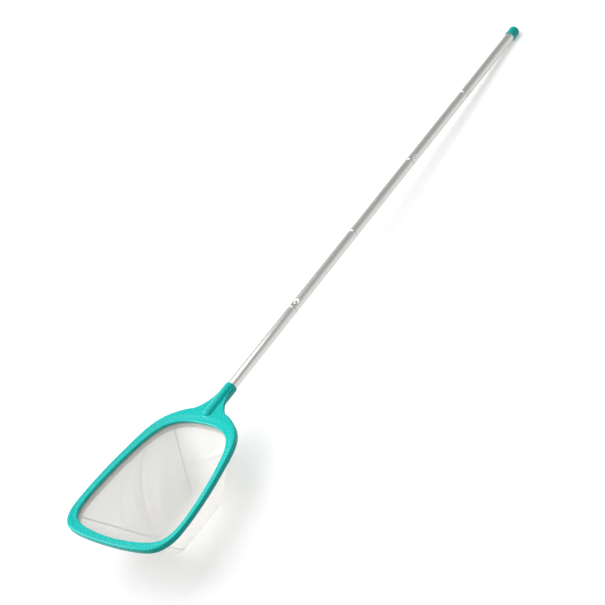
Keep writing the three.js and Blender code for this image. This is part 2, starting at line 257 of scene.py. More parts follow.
def turned(profile, sides=72):
    """A solid of revolution about the pole, from a closed profile of (radius, y)."""
    angles = np.arange(sides) / sides * 2 * math.pi
    loops = [
        np.column_stack([r * np.sin(angles), np.full(sides, y), r * np.cos(angles)])
        for r, y in profile
    ]
    return skin(np.array(loops), joined=True)


def mesh_object(name, points, faces):
    mesh = bpy.data.meshes.new(name)
    mesh.from_pydata(placed(points).tolist(), [], faces)
    made = bpy.data.objects.new(name, mesh)
    bpy.context.scene.collection.objects.link(made)
    tidy(made)
    return made


def tidy(piece):
    """Merges points that meet, drops faces with no area and turns the rest to face outwards."""
    shape = bmesh.new()
    shape.from_mesh(piece.data)
    bmesh.ops.remove_doubles(shape, verts=shape.verts, dist=0.002 * MM)
    bmesh.ops.dissolve_degenerate(shape, edges=shape.edges, dist=0.001 * MM)
    bmesh.ops.recalc_face_normals(shape, faces=shape.faces)
    shape.to_mesh(piece.data)
    shape.free()


def modify(piece, kind, **settings):
    """Applies one modifier to the piece's mesh."""
    modifier = piece.modifiers.new(kind.lower(), kind)
    for name, value in settings.items():
        setattr(modifier, name, value)
    bpy.context.view_layer.update()
    graph = bpy.context.evaluated_depsgraph_get()
    mesh = bpy.data.meshes.new_from_object(piece.evaluated_get(graph))
    piece.modifiers.clear()
    piece.data = mesh


def cut(piece, cutter, operation="DIFFERENCE"):
    """Cuts the piece with another object, which is then thrown away."""
    modify(
        piece, "BOOLEAN", object=cutter, operation=operation, solver="EXACT", use_self=True,
    )
    bpy.data.objects.remove(cutter)


def joined(name, shapes):
    """One object from several (points, faces), which may pass through each other."""
    points, faces = [], []
    for some_points, some_faces in shapes:
        start = sum(len(p) for p in points)
        points.append(np.asarray(some_points, float))
        faces += [tuple(start + i for i in face) for face in some_faces]
    return mesh_object(name, np.vstack(points), faces)


def finish_piece(piece, material, slot, body, *nodes, smooth_up_to=35):
    """Gives the piece its shading, material and body, and hides the CAD nodes it stands for. Its slot
    is not used.
    """
    mesh = piece.data
    mesh.shade_smooth()
    mesh.set_sharp_from_angle(angle=math.radians(smooth_up_to))
    points = np.empty(len(mesh.vertices) * 3)
    mesh.vertices.foreach_get("co", points)
    drawn = (points.reshape(-1, 3) - DATUM) @ AXES.T / MM
    attribute = mesh.attributes.new("drawn_mm", "FLOAT_VECTOR", "POINT")
    attribute.data.foreach_set("vector", drawn.astype(np.float32).ravel())
    mesh.materials.clear()
    mesh.materials.append(material)
    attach(piece, body)
    if nodes:
        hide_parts(*nodes)
    return piece


def rim_section():
    """The rim's section, run round its rounded edges, its dished top, its underside and skirt."""
    turn = np.radians(np.linspace(0, 90, 7))
    flat = RIM_THICKNESS / 2 - EDGE_RADIUS
    section = []

    def corner(centre, side, start):
        for angle in turn + math.radians(start):
            height = rim_middle(centre) + side * flat + EDGE_RADIUS * math.sin(angle)
            section.append((centre + EDGE_RADIUS * math.cos(angle), height))

    corner(rim_width - EDGE_RADIUS, 1, 0)
    for share in np.linspace(1, 0, 12)[1:-1]:
        reach = EDGE_RADIUS + (rim_width - 2 * EDGE_RADIUS) * share
        hollow = DISH * np.exp(-(((reach - 11) / 6) ** 2))
        section.append((reach, rim_middle(reach) + RIM_THICKNESS / 2 - hollow))
    corner(EDGE_RADIUS, 1, 90)
    corner(EDGE_RADIUS, -1, 180)
    skirt_inside = rim_width - SKIRT_WIDTH
    for share in np.linspace(0, 1, 12)[1:]:
        reach = EDGE_RADIUS + (skirt_inside - EDGE_RADIUS) * share
        section.append((reach, rim_underside(reach)))
    round_off, bevel = 1.4, 0.4
    inner_edge = [(0, round_off), (bevel, bevel), (round_off, 0)]
    outer_edge = [(SKIRT_WIDTH - across, height) for across, height in inner_edge[::-1]]
    for across, height in (*inner_edge, *outer_edge):
        section.append((skirt_inside + across, SKIRT_FOOT + height))
    return section


def flat_slab(outline, low, high):
    """A flat plate with square edges, from an outline of (x, y) and its heights."""
    count = len(outline)
    points = [(x, y, z) for z in (low, high) for x, y in outline]
    sides = [(i, (i + 1) % count, (i + 1) % count + count, i + count) for i in range(count)]
    return points, [tuple(range(count)), tuple(range(2 * count - 1, count - 1, -1)), *sides]


def neck_outline():
    """The plate's concave shoulders and, beyond them, the ribs along both sides of the socket."""
    share = np.linspace(0, 1, 17)[:, None]
    shoulder, waist, tip = np.array([(68, -132)]), np.array([(27, -113)]), np.array([(18.6, -60)])
    curve = (1 - share) ** 2 * shoulder + 2 * share * (1 - share) * waist + share ** 2 * tip
    right = [(64, -140), *curve.tolist(), (18.2, SOCKET_MOUTH_Y - 6)]
    return [*right, *[(-x, y) for x, y in right[::-1]]]


socket_inner = SOCKET_MOUTH_Y - SOCKET_LENGTH
rounded_end = [
    (SOCKET_RADIUS * math.cos(math.radians(a)), socket_inner + 7 - 7 * math.sin(math.radians(a)))
    for a in range(90, -1, -10)
]
mouth = [(SOCKET_RADIUS, SOCKET_MOUTH_Y - 1.6), (SOCKET_RADIUS - 1.2, SOCKET_MOUTH_Y)]
socket = turned([*rounded_end, *mouth, (0, SOCKET_MOUTH_Y)])
bore = turned([
    (0, socket_inner + SOCKET_FLOOR), (BORE_RADIUS, socket_inner + SOCKET_FLOOR),
    (BORE_RADIUS, SOCKET_MOUTH_Y + 2), (0, SOCKET_MOUTH_Y + 2),
])
plate_top = float(rim_middle(90)) + RIM_THICKNESS / 2
neck = mesh_object("neck", *flat_slab(neck_outline(), plate_top - RIM_THICKNESS, plate_top))
edge_limit = math.radians(50)
modify(neck, "BEVEL", width=2.0 * MM, segments=4, limit_method="ANGLE", angle_limit=edge_limit)
net_frame = joined("net_frame_moulding", [skin(round_opening(rim_section()), joined=True), socket])
cut(net_frame, neck, "UNION")
cut(net_frame, mesh_object("bore", *bore))
modify(net_frame, "REMESH", mode="VOXEL", voxel_size=VOXEL * MM)
modify(net_frame, "SMOOTH", factor=0.5, iterations=5)
finish_piece(net_frame, TEAL, "teal_polypropylene", "net_head", "net_frame", smooth_up_to=180)

# A low pip by the boss's blunt end, where the plastic was let into the mould.
gate_spot, gate_radius, gate_rise = (-9, -142), 3.2, 1.0
gate_turn = np.arange(28) / 28 * 2 * math.pi
gate_rings = [
    np.column_stack([
        gate_spot[0] + gate_radius * math.sin(a) * np.cos(gate_turn),
        gate_spot[1] + gate_radius * math.sin(a) * np.sin(gate_turn),
        np.full(len(gate_turn), plate_top - 0.4 + gate_rise * math.cos(a)),
    ])
    for a in np.radians(np.arange(0, 91, 15))
]
gate_rings.append(gate_rings[-1] - (0, 0, 0.6))
gate = joined("net_frame_gate_mark", [skin(np.array(gate_rings))])
finish_piece(gate, TEAL, "teal_polypropylene", "net_head", smooth_up_to=180)


# ---------------------------------------------------------------- retaining ring and its screws
# A thin moulded ring under the rim clamps the bag's hem. Eight pan-head screws of bright steel,
# with a cross recess, hold it up to the rim.

RING_GAP = 2.4
RING_THICKNESS = 4
RING_NEAR, RING_FAR = 3.1, 13.2
SCREW_FROM_EDGE = 9.5
SCREW_PLACES = [2, 5, 8, 11]
HEAD_RADIUS, HEAD_HEIGHT = 3.1, 2.0


def ring_section():
    turn = np.radians([0, 30, 60, 90])
    section = []
    for from_edge, start in ((RING_NEAR, 180), (RING_FAR, 270)):
        side = 1 if from_edge == RING_NEAR else -1
        low = rim_underside(from_edge) - RING_GAP - RING_THICKNESS
        for angle in turn + math.radians(start):
            section.append(
                (from_edge + side + math.cos(angle), low + 1 + math.sin(angle))
            )
    for from_edge in (RING_FAR, RING_NEAR):
        section.append((from_edge, rim_underside(from_edge) - RING_GAP))
    return section


ring = joined("bag_retaining_ring_moulding", [skin(round_opening(ring_section()), joined=True)])
finish_piece(ring, TEAL, "teal_polypropylene", "net_head", "bag_retaining_ring")


def bright_steel():
    """Zinc-plated or polished spring steel: bright, with a fine turned and handled haze."""
    material, tree, drawn = new_material("zinc_plated_steel")
    haze = add(tree, "TexNoise", {"Vector": stretched(tree, drawn, 1.6, 1.6), "Detail": 4.0})
    tint = add(
        tree, "MixRGB",
        {"Fac": haze.outputs[0], "Color1": colour("#c3c7ca"), "Color2": colour("#dadcdd")},
    )
    shine = add(
        tree, "MapRange",
        {"Value": haze.outputs[0], "From Min": 0.3, "From Max": 0.7, "To Min": 0.18, "To Max": 0.34},
    )
    bump = add(tree, "Bump", {"Height": haze.outputs[0], "Distance": 0.00003, "Strength": 0.3})
    surface = add(
        tree, "BsdfPrincipled",
        {"Base Color": tint.outputs[0], "Metallic": 1.0, "Roughness": shine.outputs[0],
         "Normal": bump.outputs[0]},
    )
    add(tree, "OutputMaterial", {"Surface": surface.outputs[0]})
    return material


STEEL = bright_steel()


def ring_screw(number, spot):
    """A pan-head screw under the ring at (x, y), its shank running up into the rim."""
    under_head = rim_underside(SCREW_FROM_EDGE) - RING_GAP - RING_THICKNESS - 1
    crown = [
        (HEAD_RADIUS * math.sin(a) ** 0.6, -HEAD_HEIGHT * math.cos(a) ** 0.8)
        for a in np.radians(range(0, 91, 15))
    ]
    shank = [(1.5, 0), (1.5, 6), (1.35, 6.3), (1.5, 6.6), (1.35, 7), (1.5, 7.4), (0.4, 9), (0, 9)]
    sides = 32
    angles = np.arange(sides) / sides * 2 * math.pi
    loops = [
        np.column_stack([
            spot[0] + r * np.cos(angles), spot[1] + r * np.sin(angles),
            np.full(sides, under_head + h),
        ])
        for r, h in [*crown, *shank]
    ]
    screw = mesh_object(f"ring_screw_{number}_pan_head", *skin(np.array(loops), joined=True))
    for wide, long in ((0.8, 3.4), (3.4, 0.8)):
        low, high = under_head - HEAD_HEIGHT - 1, under_head - HEAD_HEIGHT + 1.1
        corners = [
            (spot[0] + sx * wide / 2, spot[1] + sy * long / 2, z)
            for z in (low, high) for sx, sy in ((-1, -1), (1, -1), (1, 1), (-1, 1))
        ]
        faces = [(3, 2, 1, 0), (4, 5, 6, 7), (0, 1, 5, 4), (1, 2, 6, 5), (2, 3, 7, 6), (3, 0, 4, 7)]
        cut(screw, mesh_object("recess", corners, faces))
    return screw


screw_columns = [
    place * COLUMNS // PLACES for near in SCREW_PLACES for place in (near, PLACES - near)
]
for number, column in enumerate(screw_columns, start=1):
    spot = opening[column, :2] + outward[column] * SCREW_FROM_EDGE
    finish_piece(
        ring_screw(number, spot), STEEL, "spring_steel", "net_head", f"ring_screw_{number}",
        smooth_up_to=30,
    )


# ---------------------------------------------------------------- mesh bag
# Fine white nylon net, cut as four walls and a floor and sewn at the corners. Its top is turned
# over a piping cord, folded to a double hem band and clamped under the rim; the walls hang from
# there, a little slack, to a small flat bottom that lies on the ground.

BOTTOM_OUTLINE = [
    (0, -282), (26, -283), (46, -285), (60, -289), (66, -300), (64, -326), (60, -350),
    (57, -374), (54, -398), (51, -420), (47, -438), (38, -449), (10, -451),
    (-16, -447), (-33, -438), (-40, -424), (-42, -404), (-42, -386), (-41, -366), (-40, -344),
    (-38, -322), (-34, -302), (-28, -287), (-15, -281),
]
CLOTH = 0.35
HEM_BAND = 16
BAND_INSIDE, BAND_OUTSIDE = 1.9, 2.6
CORD_FROM_EDGE, CORD_RADIUS = 6.1, 0.8
WALL_ROWS = 60
BOTTOM_ROWS = 14
SEAM_PLACES = [2.2, 9.7, 15.0, 21.75]
SAG = 2.0

# Soft folds in the walls: where each starts and ends as (place, share of the way down), how far
# it stands proud in mm (inwards is positive) and how wide it is.
FOLDS = [
    ((19.9, -0.1), (15.6, 1.0), 7.5, 12.0),
    ((20.9, 0.1), (17.2, 1.0), -3.0, 15.0),
    ((17.9, 0.12), (15.6, 0.55), 2.0, 9.0),
    ((2.6, 0.12), (0.2, 0.42), 3.0, 11.0),
    ((5.2, 0.10), (3.4, 1.0), -2.5, 16.0),
    ((8.6, 0.10), (6.8, 0.9), 2.5, 18.0),
    ((11.2, 0.15), (10.6, 1.0), -2.5, 18.0),
]
FOLD_RUN_OUT = 0.04  # share of its length that a fold runs on past each end
RUMPLE, RUMPLE_SIZE = 1.6, 46


def bag_walls():
    """Rows of points from the foot of the hem band down to the bottom's edge."""
    top = round_opening([(BAND_INSIDE, rim_underside(BAND_INSIDE) - HEM_BAND)])[0]
    plan = eased(smooth_loop(BOTTOM_OUTLINE, COLUMNS), 2)
    foot = np.column_stack([plan, floor_height(plan[:, 1]) + CLOTH])
    down = np.linspace(0, 1, WALL_ROWS)[:, None, None]
    walls = top * (1 - down) + foot * down
    sideways = np.roll(walls, -1, axis=1) - np.roll(walls, 1, axis=1)
    fall = (foot - top)[None]
    inwards = np.cross(fall, sideways)
    inwards /= np.linalg.norm(inwards, axis=2)[..., None]
    inwards *= np.sign((inwards[..., :2] * outward).sum(axis=2).mean()) * -1
    place = np.arange(COLUMNS) / COLUMNS * PLACES
    step = np.linalg.norm(sideways, axis=2) / 2 * COLUMNS / PLACES
    share = down[..., 0]
    push = np.zeros((WALL_ROWS, COLUMNS))
    for (start, start_down), (end, end_down), height, width in FOLDS:
        part = (share - start_down) / (end_down - start_down)
        ridge = start + (end - start) * part
        off = (place - ridge + PLACES / 2) % PLACES - PLACES / 2
        within = np.clip(part * (1 - 2 * FOLD_RUN_OUT) + FOLD_RUN_OUT, 0, 1)
        reached = (part > -FOLD_RUN_OUT) & (part < 1 + FOLD_RUN_OUT)
        taper = np.sin(math.pi * within) ** 0.6 * reached
        push += height * taper * np.exp(-((off * step / width) ** 2))
    for start, end in zip(SEAM_PLACES, [*SEAM_PLACES[1:], SEAM_PLACES[0] + PLACES]):
        across = ((place - start) % PLACES) / (end - start)
        belly = np.where(across < 1, np.sin(math.pi * np.clip(across, 0, 1)) ** 0.7, 0)
        push -= SAG * belly * np.sin(math.pi * share ** 1.2)
    rumple = np.array([
        [noise.fractal(Vector(p) / RUMPLE_SIZE, 0.9, 2.1, 3) for p in row] for row in walls
    ])
    push += RUMPLE * rumple * np.sin(math.pi * share) ** 0.7
    return walls + inwards * push[..., None]


walls = bag_walls()


def hem_rows():
    """Rows from the hem's free edge, up the outside of the band, round the piping cord, and back
    under the rim to the inside of the band."""
    cord_height = rim_underside(CORD_FROM_EDGE) - RING_GAP / 2
    sleeve = CORD_RADIUS + CLOTH

    def band_side(from_edge, drops):
        return [(from_edge, rim_underside(from_edge) - drop) for drop in drops]

    section = band_side(BAND_OUTSIDE, np.linspace(HEM_BAND, 3, 6))
    section.append((BAND_OUTSIDE + 0.7, rim_underside(BAND_OUTSIDE) - RING_GAP + CLOTH / 2 + 0.1))
    for angle in np.radians([-90, -45, 0, 45, 90]):
        section.append(
            (CORD_FROM_EDGE + sleeve * math.cos(angle), cord_height + sleeve * math.sin(angle))
        )
    section.append((BAND_INSIDE + 1, rim_underside(BAND_INSIDE) - CLOTH))
    section += band_side(BAND_INSIDE, np.linspace(1.2, HEM_BAND - 2, 6))
    return round_opening(section)


def bottom_rows():
    """Rows from the bottom's edge in to its middle, flat on the floor."""
    middle = walls[-1].mean(axis=0)
    rows = []
    for share in np.linspace(0, 1, BOTTOM_ROWS)[1:]:
        row = walls[-1] * (1 - share) + middle * share
        row[:, 2] = floor_height(row[:, 1]) + CLOTH
        rows.append(row)
    return np.array(rows)


def rounded_foot(rows, foot):
    """The rows with the turn from the walls to the bottom rounded off, most on the left side."""
    reach = 11
    ease = np.clip((30 - rows[foot, :, 0]) / 50, 0.1, 1)[None, :, None]
    near = range(foot - reach, foot + reach + 1)
    for _ in range(40):
        level = rows[near]
        middle = (rows[[i - 1 for i in near]] + rows[[i + 1 for i in near]]) / 2
        fade = np.sin(math.pi * (np.arange(len(level)) + 1) / (len(level) + 1))[:, None, None]
        rows[near] = level + (middle - level) * 0.9 * fade * ease
    return rows


hem = hem_rows()
bottom = bottom_rows()


def thread_coordinates(rows):
    """For each face corner, the distances in mm along the warp and the weft of its own panel."""
    seam_columns = [round(place * COLUMNS / PLACES) for place in SEAM_PLACES]
    first_wall, last_wall = len(hem), len(hem) + WALL_ROWS - 1
    below = np.cumsum(np.linalg.norm(np.diff(rows, axis=0, prepend=rows[:1]), axis=2), axis=0)
    sheets = []
    for start, end in zip(seam_columns, [*seam_columns[1:], seam_columns[0] + COLUMNS]):
        across = walls[0, end % COLUMNS] - walls[0, start]
        across /= np.linalg.norm(across)
        middle = (start + end) // 2 % COLUMNS
        down = walls[-1, middle] - walls[0, middle]
        down -= across * (down @ across)
        down /= np.linalg.norm(down)
        weft = rows @ down
        weft[:first_wall] = weft[first_wall] - (below[first_wall] - below[:first_wall])
        sheets.append((start, end, np.stack([rows @ across, weft], axis=-1)))
    flat = rows[..., :2]
    corners = []
    for row in range(len(rows) - 1):
        for i in range(COLUMNS):
            panel = next(s for a, b, s in sheets if a <= i < b or a <= i + COLUMNS < b)
            source = flat if row >= last_wall else panel
            for r, c in ((row, i), (row, i + 1), (row + 1, i + 1), (row + 1, i)):
                corners.append(source[r, c % COLUMNS])
    return np.array(corners)


rows = rounded_foot(np.concatenate([hem, walls, bottom]), len(hem) + WALL_ROWS - 1)
walls = rows[len(hem):len(hem) + WALL_ROWS]
bag_mesh = bpy.data.meshes.new("sewn_mesh_bag")
bag_points, bag_quads = skin(rows)
bag_mesh.from_pydata(placed(bag_points).tolist(), [], bag_quads)
threads = bag_mesh.uv_layers.new(name="threads")
threads.data.foreach_set("uv", thread_coordinates(rows).astype(np.float32).ravel())
bag = bpy.data.objects.new("sewn_mesh_bag", bag_mesh)
bpy.context.scene.collection.objects.link(bag)
modify(bag, "WELD", merge_threshold=0.002 * MM)
modify(bag, "SOLIDIFY", thickness=CLOTH * MM, offset=0, use_even_offset=True)


def nylon_net():
    """Woven nylon monofilament: white, slightly shiny threads with square holes between them,
    which let light through from behind. The weave is about 0.8 mm; it is drawn at 1.6 mm so that
    it shows."""
    material, tree, drawn = new_material("woven_nylon_net_white")
    pitch = 1.6
    cloth = add(tree, "UVMap", uv_map="threads").outputs[0]
    counted = add(tree, "VectorMath", {0: cloth, 1: (1 / pitch, 1 / pitch, 0)}, operation="MULTIPLY")
    split = add(tree, "SeparateXYZ", {0: counted.outputs[0]})
    covers, swells = [], []
    for axis in (0, 1):
        wave = add(tree, "Math", {0: split.outputs[axis]}, operation="FRACT")
        side = add(tree, "Math", {0: wave.outputs[0], 1: 0.5}, operation="SUBTRACT")
        away = add(tree, "Math", {0: side.outputs[0]}, operation="ABSOLUTE")
        cover = add(
            tree, "MapRange", {"Value": away.outputs[0], "From Min": 0.34, "From Max": 0.27},
            interpolation_type="SMOOTHSTEP",
        )
        covers.append(cover.outputs[0])
        turn = add(tree, "Math", {0: split.outputs[axis], 1: math.pi}, operation="MULTIPLY")
        swells.append(add(tree, "Math", {0: turn.outputs[0]}, operation="SINE").outputs[0])
    threads_here = add(tree, "Math", {0: covers[0], 1: covers[1]}, operation="MAXIMUM")
    over_under = add(tree, "Math", {0: swells[0], 1: swells[1]}, operation="MULTIPLY")
    height = add(
        tree, "Math", {0: over_under.outputs[0], 1: threads_here.outputs[0]}, operation="ADD",
    )
    bump = add(tree, "Bump", {"Height": height.outputs[0], "Distance": 0.00012, "Strength": 0.5})
    slub = add(tree, "TexNoise", {"Vector": stretched(tree, drawn, 12, 12), "Detail": 3.0})
    tint = add(
        tree, "MixRGB",
        {"Fac": slub.outputs[0], "Color1": colour("#ebeae8"), "Color2": colour("#f6f5f3")},
    )
    shine = add(
        tree, "MapRange",
        {"Value": slub.outputs[0], "From Min": 0.3, "From Max": 0.7, "To Min": 0.5, "To Max": 0.62},
    )
    thread = add(
        tree, "BsdfPrincipled",
        {"Base Color": tint.outputs[0], "Roughness": shine.outputs[0], "IOR": 1.53,
         "Sheen Weight": 0.15, "Normal": bump.outputs[0]},
    )
    glow = add(tree, "BsdfTranslucent", {"Color": tint.outputs[0], "Normal": bump.outputs[0]})
    lit = add(tree, "MixShader", {0: 0.6, 1: thread.outputs[0], 2: glow.outputs[0]})
    hole = add(tree, "BsdfTransparent")
    cloth_surface = add(
        tree, "MixShader", {0: threads_here.outputs[0], 1: hole.outputs[0], 2: lit.outputs[0]},
    )
    add(tree, "OutputMaterial", {"Surface": cloth_surface.outputs[0]})
    return material


NET = nylon_net()
finish_piece(bag, NET, "nylon_mesh", "net_head", "mesh_bag", smooth_up_to=60)


# ---------------------------------------------------------------- seams, stitching and hem cord
# The corners are overlocked and bound with a narrow white polyester tape, with polyester
# thread along every seam. A round piping cord inside the hem keeps the bag from pulling out of
# the ring.


def polyester_cord():
    """Twisted polyester yarn: matt white with a fine slanting twist. Its lay is about 0.5 mm; it
    is drawn at 1 mm so that it shows."""
    material, tree, drawn = new_material("twisted_polyester_cord_white")
    lay = add(
        tree, "TexWave", {"Vector": stretched(tree, drawn, 1.0, 1.0), "Distortion": 0.6},
        bands_direction="DIAGONAL",
    )
    tint = add(
        tree, "MixRGB",
        {"Fac": lay.outputs["Fac"], "Color1": colour("#edeeee"), "Color2": colour("#fbfbfb")},
    )
    bump = add(tree, "Bump", {"Height": lay.outputs["Fac"], "Distance": 0.0001, "Strength": 0.5})
    surface = add(
        tree, "BsdfPrincipled",
        {"Base Color": tint.outputs[0], "Roughness": 0.7, "IOR": 1.54, "Sheen Weight": 0.2,
         "Normal": bump.outputs[0]},
    )
    add(tree, "OutputMaterial", {"Surface": surface.outputs[0]})
    return material


CORD = polyester_cord()


def tube_round(loop, radius, sides=10):
    """A thin tube along a closed loop of points."""
    ahead = np.roll(loop, -1, axis=0) - np.roll(loop, 1, axis=0)
    side = np.cross(ahead, (0, 0, 1))
    side /= np.linalg.norm(side, axis=1)[:, None]
    up = np.cross(side, ahead)
    up /= np.linalg.norm(up, axis=1)[:, None]
    turn = np.arange(sides) / sides * 2 * math.pi
    loops = [loop + radius * (math.cos(a) * side + math.sin(a) * up) for a in turn]
    return skin(np.array(loops), joined=True)


cord_middle = rim_underside(CORD_FROM_EDGE) - RING_GAP / 2
hem_cord = joined(
    "hem_piping_cord",
    [tube_round(round_opening([(CORD_FROM_EDGE, cord_middle)])[0], CORD_RADIUS)],
)
finish_piece(hem_cord, CORD, "hem_piping", "net_head", "hem_cord")

BINDING_WIDTH = 2.8
BINDING_PROUD = 0.45


def beside_seam(row, column, distance):
    """The point of a wall row at a distance along it from a column, either way."""
    reach = 24
    picked = [(column + i) % COLUMNS for i in range(-reach, reach + 1)]
    line = row[picked]
    gone = np.concatenate([[0], np.cumsum(np.linalg.norm(np.diff(line, axis=0), axis=1))])
    gone -= gone[reach]
    return np.array([np.interp(distance, gone, line[:, k]) for k in range(3)])


def outside_of(column):
    """The way out of the bag at a seam, sideways and a little down."""
    return np.array([*outward[column] * 0.85, -0.5])


def seam_binding(place):
    """A closed strip, proud of the cloth, down one corner of the bag."""
    column = round(place * COLUMNS / PLACES)
    out = outside_of(column)
    section = []
    for across, proud in ((-0.5, 0.1), (-0.5, 0.5), (-0.2, 1), (0.2, 1), (0.5, 0.5), (0.5, 0.1)):
        line = [beside_seam(row, column, across * BINDING_WIDTH) for row in walls[:-1]]
        section.append(np.array(line) + out * (CLOTH / 2 + BINDING_PROUD * proud))
    loops = np.transpose(np.array(section), (1, 0, 2))
    points, quads = skin(loops)
    count = len(section)
    last = len(points) - count
    return points, [*quads, tuple(range(count - 1, -1, -1)), tuple(range(last, last + count))]


bindings = joined("bag_seam_bindings", [seam_binding(place) for place in SEAM_PLACES])
finish_piece(bindings, CORD, "hem_piping", "net_head", smooth_up_to=50)

STITCH_PITCH, STITCH_LENGTH, THREAD_RADIUS = 4.2, 3.0, 0.3
STITCH_SIZES = (0.35, 0.9, 1, 0.9, 0.35)  # along one stitch, as shares of the thread's radius
STITCH_RISES = (-0.8, 0.2, 0.6, 0.2, -0.8)
SEAM_STITCHES_APART = 1.6
STITCHES_ABOVE_HEM_FOOT = 2.5


def stitches(line, out):
    """Small raised stitches at an even pitch along an open line of points."""
    gone = np.concatenate([[0], np.cumsum(np.linalg.norm(np.diff(line, axis=0), axis=1))])
    made = []
    for start in np.arange(STITCH_PITCH, gone[-1] - STITCH_PITCH, STITCH_PITCH):
        along_line = np.linspace(start, start + STITCH_LENGTH, 5)
        spine = np.column_stack([np.interp(along_line, gone, line[:, k]) for k in range(3)])
        ahead = spine[-1] - spine[0]
        ahead /= np.linalg.norm(ahead)
        side = np.cross(ahead, out)
        side /= np.linalg.norm(side)
        up = np.cross(side, ahead)
        turn = np.arange(6) / 6 * 2 * math.pi
        ring_of = np.cos(turn)[:, None] * side + np.sin(turn)[:, None] * up
        loops = [
            point + ring_of * THREAD_RADIUS * size + up * THREAD_RADIUS * rise
            for point, size, rise in zip(spine, STITCH_SIZES, STITCH_RISES)
        ]
        points, quads = skin(np.array(loops))
        made.append((points, [*quads, (5, 4, 3, 2, 1, 0), (24, 25, 26, 27, 28, 29)]))
    return made


thread_runs = []
for place in SEAM_PLACES:
    column = round(place * COLUMNS / PLACES)
    out = outside_of(column)
    for across in (-SEAM_STITCHES_APART / 2, SEAM_STITCHES_APART / 2):
        line = np.array([beside_seam(row, column, across) for row in walls[1:-1]])
        thread_runs += stitches(line + out * (CLOTH / 2 + BINDING_PROUD), out)
for from_edge, side in ((BAND_INSIDE, -1), (BAND_OUTSIDE, 1)):
    stitch_height = rim_underside(from_edge) - HEM_BAND + STITCHES_ABOVE_HEM_FOOT
    band_line = round_opening([(from_edge + side * CLOTH / 2, stitch_height)])[0]
    for i in range(0, COLUMNS, 5):
        part = band_line[[(i + k) % COLUMNS for k in range(7)]]
        thread_runs += stitches(part, np.array([*(outward[i] * side), 0.01]))
stitching = joined("bag_stitching", thread_runs)
finish_piece(stitching, CORD, "hem_piping", "net_head")


# ---------------------------------------------------------------- aluminium pole sections
# Five drawn aluminium tubes. The upper end of each is necked down to slide into the next, whose
# wall is pressed in to a shallow saddle round the hole for the push button.

TUBE_RADIUS, TUBE_WALL = 14, 1
JOINT_PITCH, FIRST_BUTTON_Y = 310, 280
JOINT_CLOCKS = [22, 130, 70, 105]
CAP_TIP_Y = 1513
SPIGOT_RADIUS = TUBE_RADIUS - TUBE_WALL - 0.3
SPIGOT_PAST_BUTTON = 50
MOUTH_BEFORE_BUTTON = 16
DIE_RADIUS, SADDLE_FLAT = 35, 11.5
BUTTON_RADIUS = 3.5
FIRST_TUBE_START_Y = socket_inner + SOCKET_FLOOR + 5
TUBE_SIDES = 96


def drawn_aluminium():
    """Drawn aluminium tube, lightly polished: fine die lines along the length, a satin gloss that
    varies in bands, and a few handling scuffs."""
    material, tree, drawn = new_material("drawn_aluminium_satin")
    # Real die lines are some 0.1 mm apart; they are drawn about 1 mm apart so that they show.
    lines = add(tree, "TexNoise", {"Vector": stretched(tree, drawn, 1.0, 260), "Detail": 4.0})
    bands = add(tree, "TexNoise", {"Vector": stretched(tree, drawn, 6, 420), "Detail": 2.0})
    scuffs = add(tree, "TexNoise", {"Vector": stretched(tree, drawn, 9, 30), "Detail": 5.0})
    tint = add(
        tree, "MixRGB",
        {"Fac": bands.outputs[0], "Color1": colour("#c2c3bf"), "Color2": colour("#dddeda")},
    )
    worn = add(
        tree, "MapRange",
        {"Value": scuffs.outputs[0], "From Min": 0.58, "From Max": 0.72, "To Max": 0.35},
    )
    dulled = add(
        tree, "MixRGB",
        {"Fac": worn.outputs[0], "Color1": tint.outputs[0], "Color2": colour("#b4b4ae")},
    )
    shine = add(
        tree, "MapRange",
        {"Value": lines.outputs[0], "From Min": 0.3, "From Max": 0.7, "To Min": 0.2, "To Max": 0.36},
    )
    bump = add(tree, "Bump", {"Height": lines.outputs[0], "Distance": 0.00008, "Strength": 0.35})
    surface = add(
        tree, "BsdfPrincipled",
        {"Base Color": dulled.outputs[0], "Metallic": 1.0, "Roughness": shine.outputs[0],
         "Normal": bump.outputs[0]},
    )
    add(tree, "OutputMaterial", {"Surface": surface.outputs[0]})
    return material


ALUMINIUM = drawn_aluminium()


def button_y(joint):
    return FIRST_BUTTON_Y + joint * JOINT_PITCH


def button_way(joint):
    """The way a joint's button points, square to the pole."""
    clock = math.radians(JOINT_CLOCKS[joint])
    return np.array([math.sin(clock), 0, math.cos(clock)])


def pressed(points, joint, depth):
    """Points pushed in under the saddle die of a joint, depth below its face."""
    way = button_way(joint)
    height = points @ way
    along_tube = np.clip(np.abs(points[:, 1] - button_y(joint)), 0, DIE_RADIUS - 0.01)
    die = SADDLE_FLAT + DIE_RADIUS - np.sqrt(DIE_RADIUS ** 2 - along_tube ** 2) - depth
    ease = 0.35
    lowered = -ease * np.logaddexp(-height / ease, -die / ease)
    change = np.where((height > 5) & (along_tube < 22), lowered - height, 0)
    return points + change[:, None] * way


